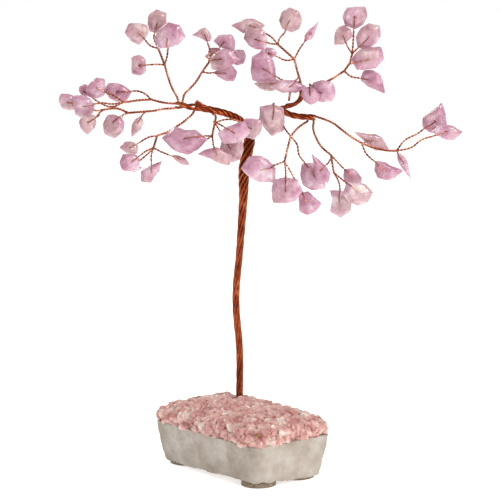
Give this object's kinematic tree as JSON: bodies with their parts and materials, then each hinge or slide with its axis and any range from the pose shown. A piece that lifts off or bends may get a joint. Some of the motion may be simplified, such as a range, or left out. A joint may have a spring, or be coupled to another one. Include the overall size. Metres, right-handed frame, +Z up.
{
  "type": "gemstone tree ornament",
  "caption": "Ornamental wire tree: twisted copper trunk and twigs carry drilled rose-quartz chips on loops, set in a white cast block topped with pink crystal granules.",
  "frame": {"origin": "centre of the bounding box in plan, at the undersides of the foot pads", "axes": "+Z up, the front of the tree faces -Y, +X to the viewer's right"},
  "size_m": [0.1346, 0.0598, 0.1552],
  "materials": {
    "copper": "drawn copper wire, slightly tarnished",
    "quartz": "tumbled, translucent",
    "plaster": "rough, chalky",
    "bed": "crystal grit set in glue",
    "crystals": "broken crystal, glossy",
    "glue": "set clear glue, amber",
    "pad": "matt tan"
  },
  "bodies": {
    "base_and_trunk": {"base_block": "plaster", "crotch_wrap": "copper", "crystal_bed": "bed", "crystal_granules": "crystals", "foot_pad_back": "pad", "foot_pad_front": "pad", "foot_pad_left": "pad", "foot_pad_right": "pad", "glue_beads": "glue", "left_limb": "copper", "right_limb": "copper", "right_riser": "copper", "root_glue": "glue", "trunk_core": "copper", "trunk_strand_1": "copper", "trunk_strand_2": "copper", "trunk_strand_3": "copper", "trunk_strand_4": "copper", "trunk_strand_5": "copper", "trunk_strand_6": "copper", "trunk_strand_7": "copper"},
    "upper_left_spray": {"upper_left_wires": "copper", "upper_left_chips": "quartz"},
    "inner_left_spray": {"inner_left_wires": "copper", "inner_left_chips": "quartz"},
    "left_tip_spray": {"left_tip_wires": "copper", "left_tip_chips": "quartz"},
    "lower_left_tip_spray": {"lower_left_tip_wires": "copper", "lower_left_tip_chips": "quartz"},
    "low_left_spray": {"low_left_wires": "copper", "low_left_chips": "quartz"},
    "front_left_spray": {"front_left_wires": "copper", "front_left_chips": "quartz"},
    "centre_spray": {"centre_wires": "copper", "centre_chips": "quartz"},
    "upper_right_spray": {"upper_right_wires": "copper", "upper_right_chips": "quartz"},
    "far_upper_right_spray": {"far_upper_right_wires": "copper", "far_upper_right_chips": "quartz"},
    "far_right_spray": {"far_right_wires": "copper", "far_right_chips": "quartz"},
    "low_right_spray": {"low_right_wires": "copper", "low_right_chips": "quartz"},
    "low_outer_right_spray": {"low_outer_right_wires": "copper", "low_outer_right_chips": "quartz"},
    "loose_chip_b4": {"loose_chip_b4": "quartz"},
    "loose_chip_cc": {"loose_chip_cc": "quartz"},
    "loose_chip_ci": {"loose_chip_ci": "quartz"},
    "loose_chip_d1": {"loose_chip_d1": "quartz"},
    "loose_chip_d4": {"loose_chip_d4": "quartz"},
    "loose_chip_e5": {"loose_chip_e5": "quartz"},
    "loose_chip_j1": {"loose_chip_j1": "quartz"},
    "loose_chip_j2": {"loose_chip_j2": "quartz"},
    "loose_chip_j3": {"loose_chip_j3": "quartz"}
  },
  "joints": [
    {"name": "upper_left_bend", "type": "hinge", "parent": "base_and_trunk", "child": "upper_left_spray", "pos_m": [-0.0274, 0.0086, 0.1246], "axis": [0, 1, 0], "range_deg": [-8, 8]},
    {"name": "inner_left_bend", "type": "hinge", "parent": "base_and_trunk", "child": "inner_left_spray", "pos_m": [-0.026, 0.0088, 0.124], "axis": [0, 1, 0], "range_deg": [-8, 8]},
    {"name": "left_tip_bend", "type": "hinge", "parent": "base_and_trunk", "child": "left_tip_spray", "pos_m": [-0.029, 0.0085, 0.1235], "axis": [0, 1, 0], "range_deg": [-3, 8]},
    {"name": "lower_left_tip_bend", "type": "hinge", "parent": "base_and_trunk", "child": "lower_left_tip_spray", "pos_m": [-0.0288, 0.0071, 0.122], "axis": [0, 1, 0], "range_deg": [-8, 3]},
    {"name": "low_left_bend", "type": "hinge", "parent": "base_and_trunk", "child": "low_left_spray", "pos_m": [-0.0221, 0.0071, 0.1209], "axis": [0, 1, 0], "range_deg": [-8, 4]},
    {"name": "front_left_bend", "type": "hinge", "parent": "base_and_trunk", "child": "front_left_spray", "pos_m": [-0.0158, 0.0066, 0.1204], "axis": [0, 1, 0], "range_deg": [-8, 8]},
    {"name": "centre_bend", "type": "hinge", "parent": "base_and_trunk", "child": "centre_spray", "pos_m": [0.0043, 0.0078, 0.1218], "axis": [0, 1, 0], "range_deg": [-8, 8]},
    {"name": "upper_right_bend", "type": "hinge", "parent": "base_and_trunk", "child": "upper_right_spray", "pos_m": [0.0139, 0.0104, 0.1273], "axis": [0, 1, 0], "range_deg": [-5, 8]},
    {"name": "far_upper_right_bend", "type": "hinge", "parent": "base_and_trunk", "child": "far_upper_right_spray", "pos_m": [0.0152, 0.0101, 0.1266], "axis": [0, 1, 0], "range_deg": [-8, 8]},
    {"name": "far_right_bend", "type": "hinge", "parent": "base_and_trunk", "child": "far_right_spray", "pos_m": [0.0193, 0.0082, 0.119], "axis": [0, 1, 0], "range_deg": [-8, 8]},
    {"name": "low_right_bend", "type": "hinge", "parent": "base_and_trunk", "child": "low_right_spray", "pos_m": [0.016, 0.0068, 0.118], "axis": [0, 1, 0], "range_deg": [-8, 8]},
    {"name": "low_outer_right_bend", "type": "hinge", "parent": "base_and_trunk", "child": "low_outer_right_spray", "pos_m": [0.018, 0.0067, 0.1178], "axis": [0, 1, 0], "range_deg": [-8, 8]},
    {"name": "loose_chip_b4_swivel", "type": "hinge", "parent": "upper_left_spray", "child": "loose_chip_b4", "pos_m": [-0.0404, 0.013, 0.136], "axis": [0, 1, 0], "range_deg": [-30, 25]},
    {"name": "loose_chip_cc_swivel", "type": "hinge", "parent": "upper_right_spray", "child": "loose_chip_cc", "pos_m": [0.003, 0.0146, 0.1399], "axis": [0, 1, 0], "range_deg": [-30, 30]},
    {"name": "loose_chip_ci_swivel", "type": "hinge", "parent": "upper_right_spray", "child": "loose_chip_ci", "pos_m": [0.017, 0.015, 0.1466], "axis": [0, 1, 0], "range_deg": [-30, 30]},
    {"name": "loose_chip_d1_swivel", "type": "hinge", "parent": "far_upper_right_spray", "child": "loose_chip_d1", "pos_m": [0.0317, 0.013, 0.1522], "axis": [0, 1, 0], "range_deg": [-30, 30]},
    {"name": "loose_chip_d4_swivel", "type": "hinge", "parent": "far_upper_right_spray", "child": "loose_chip_d4", "pos_m": [0.036, 0.007, 0.1384], "axis": [0, 1, 0], "range_deg": [-30, 30]},
    {"name": "loose_chip_e5_swivel", "type": "hinge", "parent": "left_tip_spray", "child": "loose_chip_e5", "pos_m": [-0.0477, 0.0086, 0.1274], "axis": [0, 1, 0], "range_deg": [-30, 30]},
    {"name": "loose_chip_j1_swivel", "type": "hinge", "parent": "far_right_spray", "child": "loose_chip_j1", "pos_m": [0.0586, 0.008, 0.1176], "axis": [0, 1, 0], "range_deg": [-30, 30]},
    {"name": "loose_chip_j2_swivel", "type": "hinge", "parent": "far_right_spray", "child": "loose_chip_j2", "pos_m": [0.062, 0.0034, 0.1144], "axis": [0, 1, 0], "range_deg": [-30, 30]},
    {"name": "loose_chip_j3_swivel", "type": "hinge", "parent": "far_right_spray", "child": "loose_chip_j3", "pos_m": [0.048, 0.007, 0.1038], "axis": [0, 1, 0], "range_deg": [-30, 30]}
  ]
}
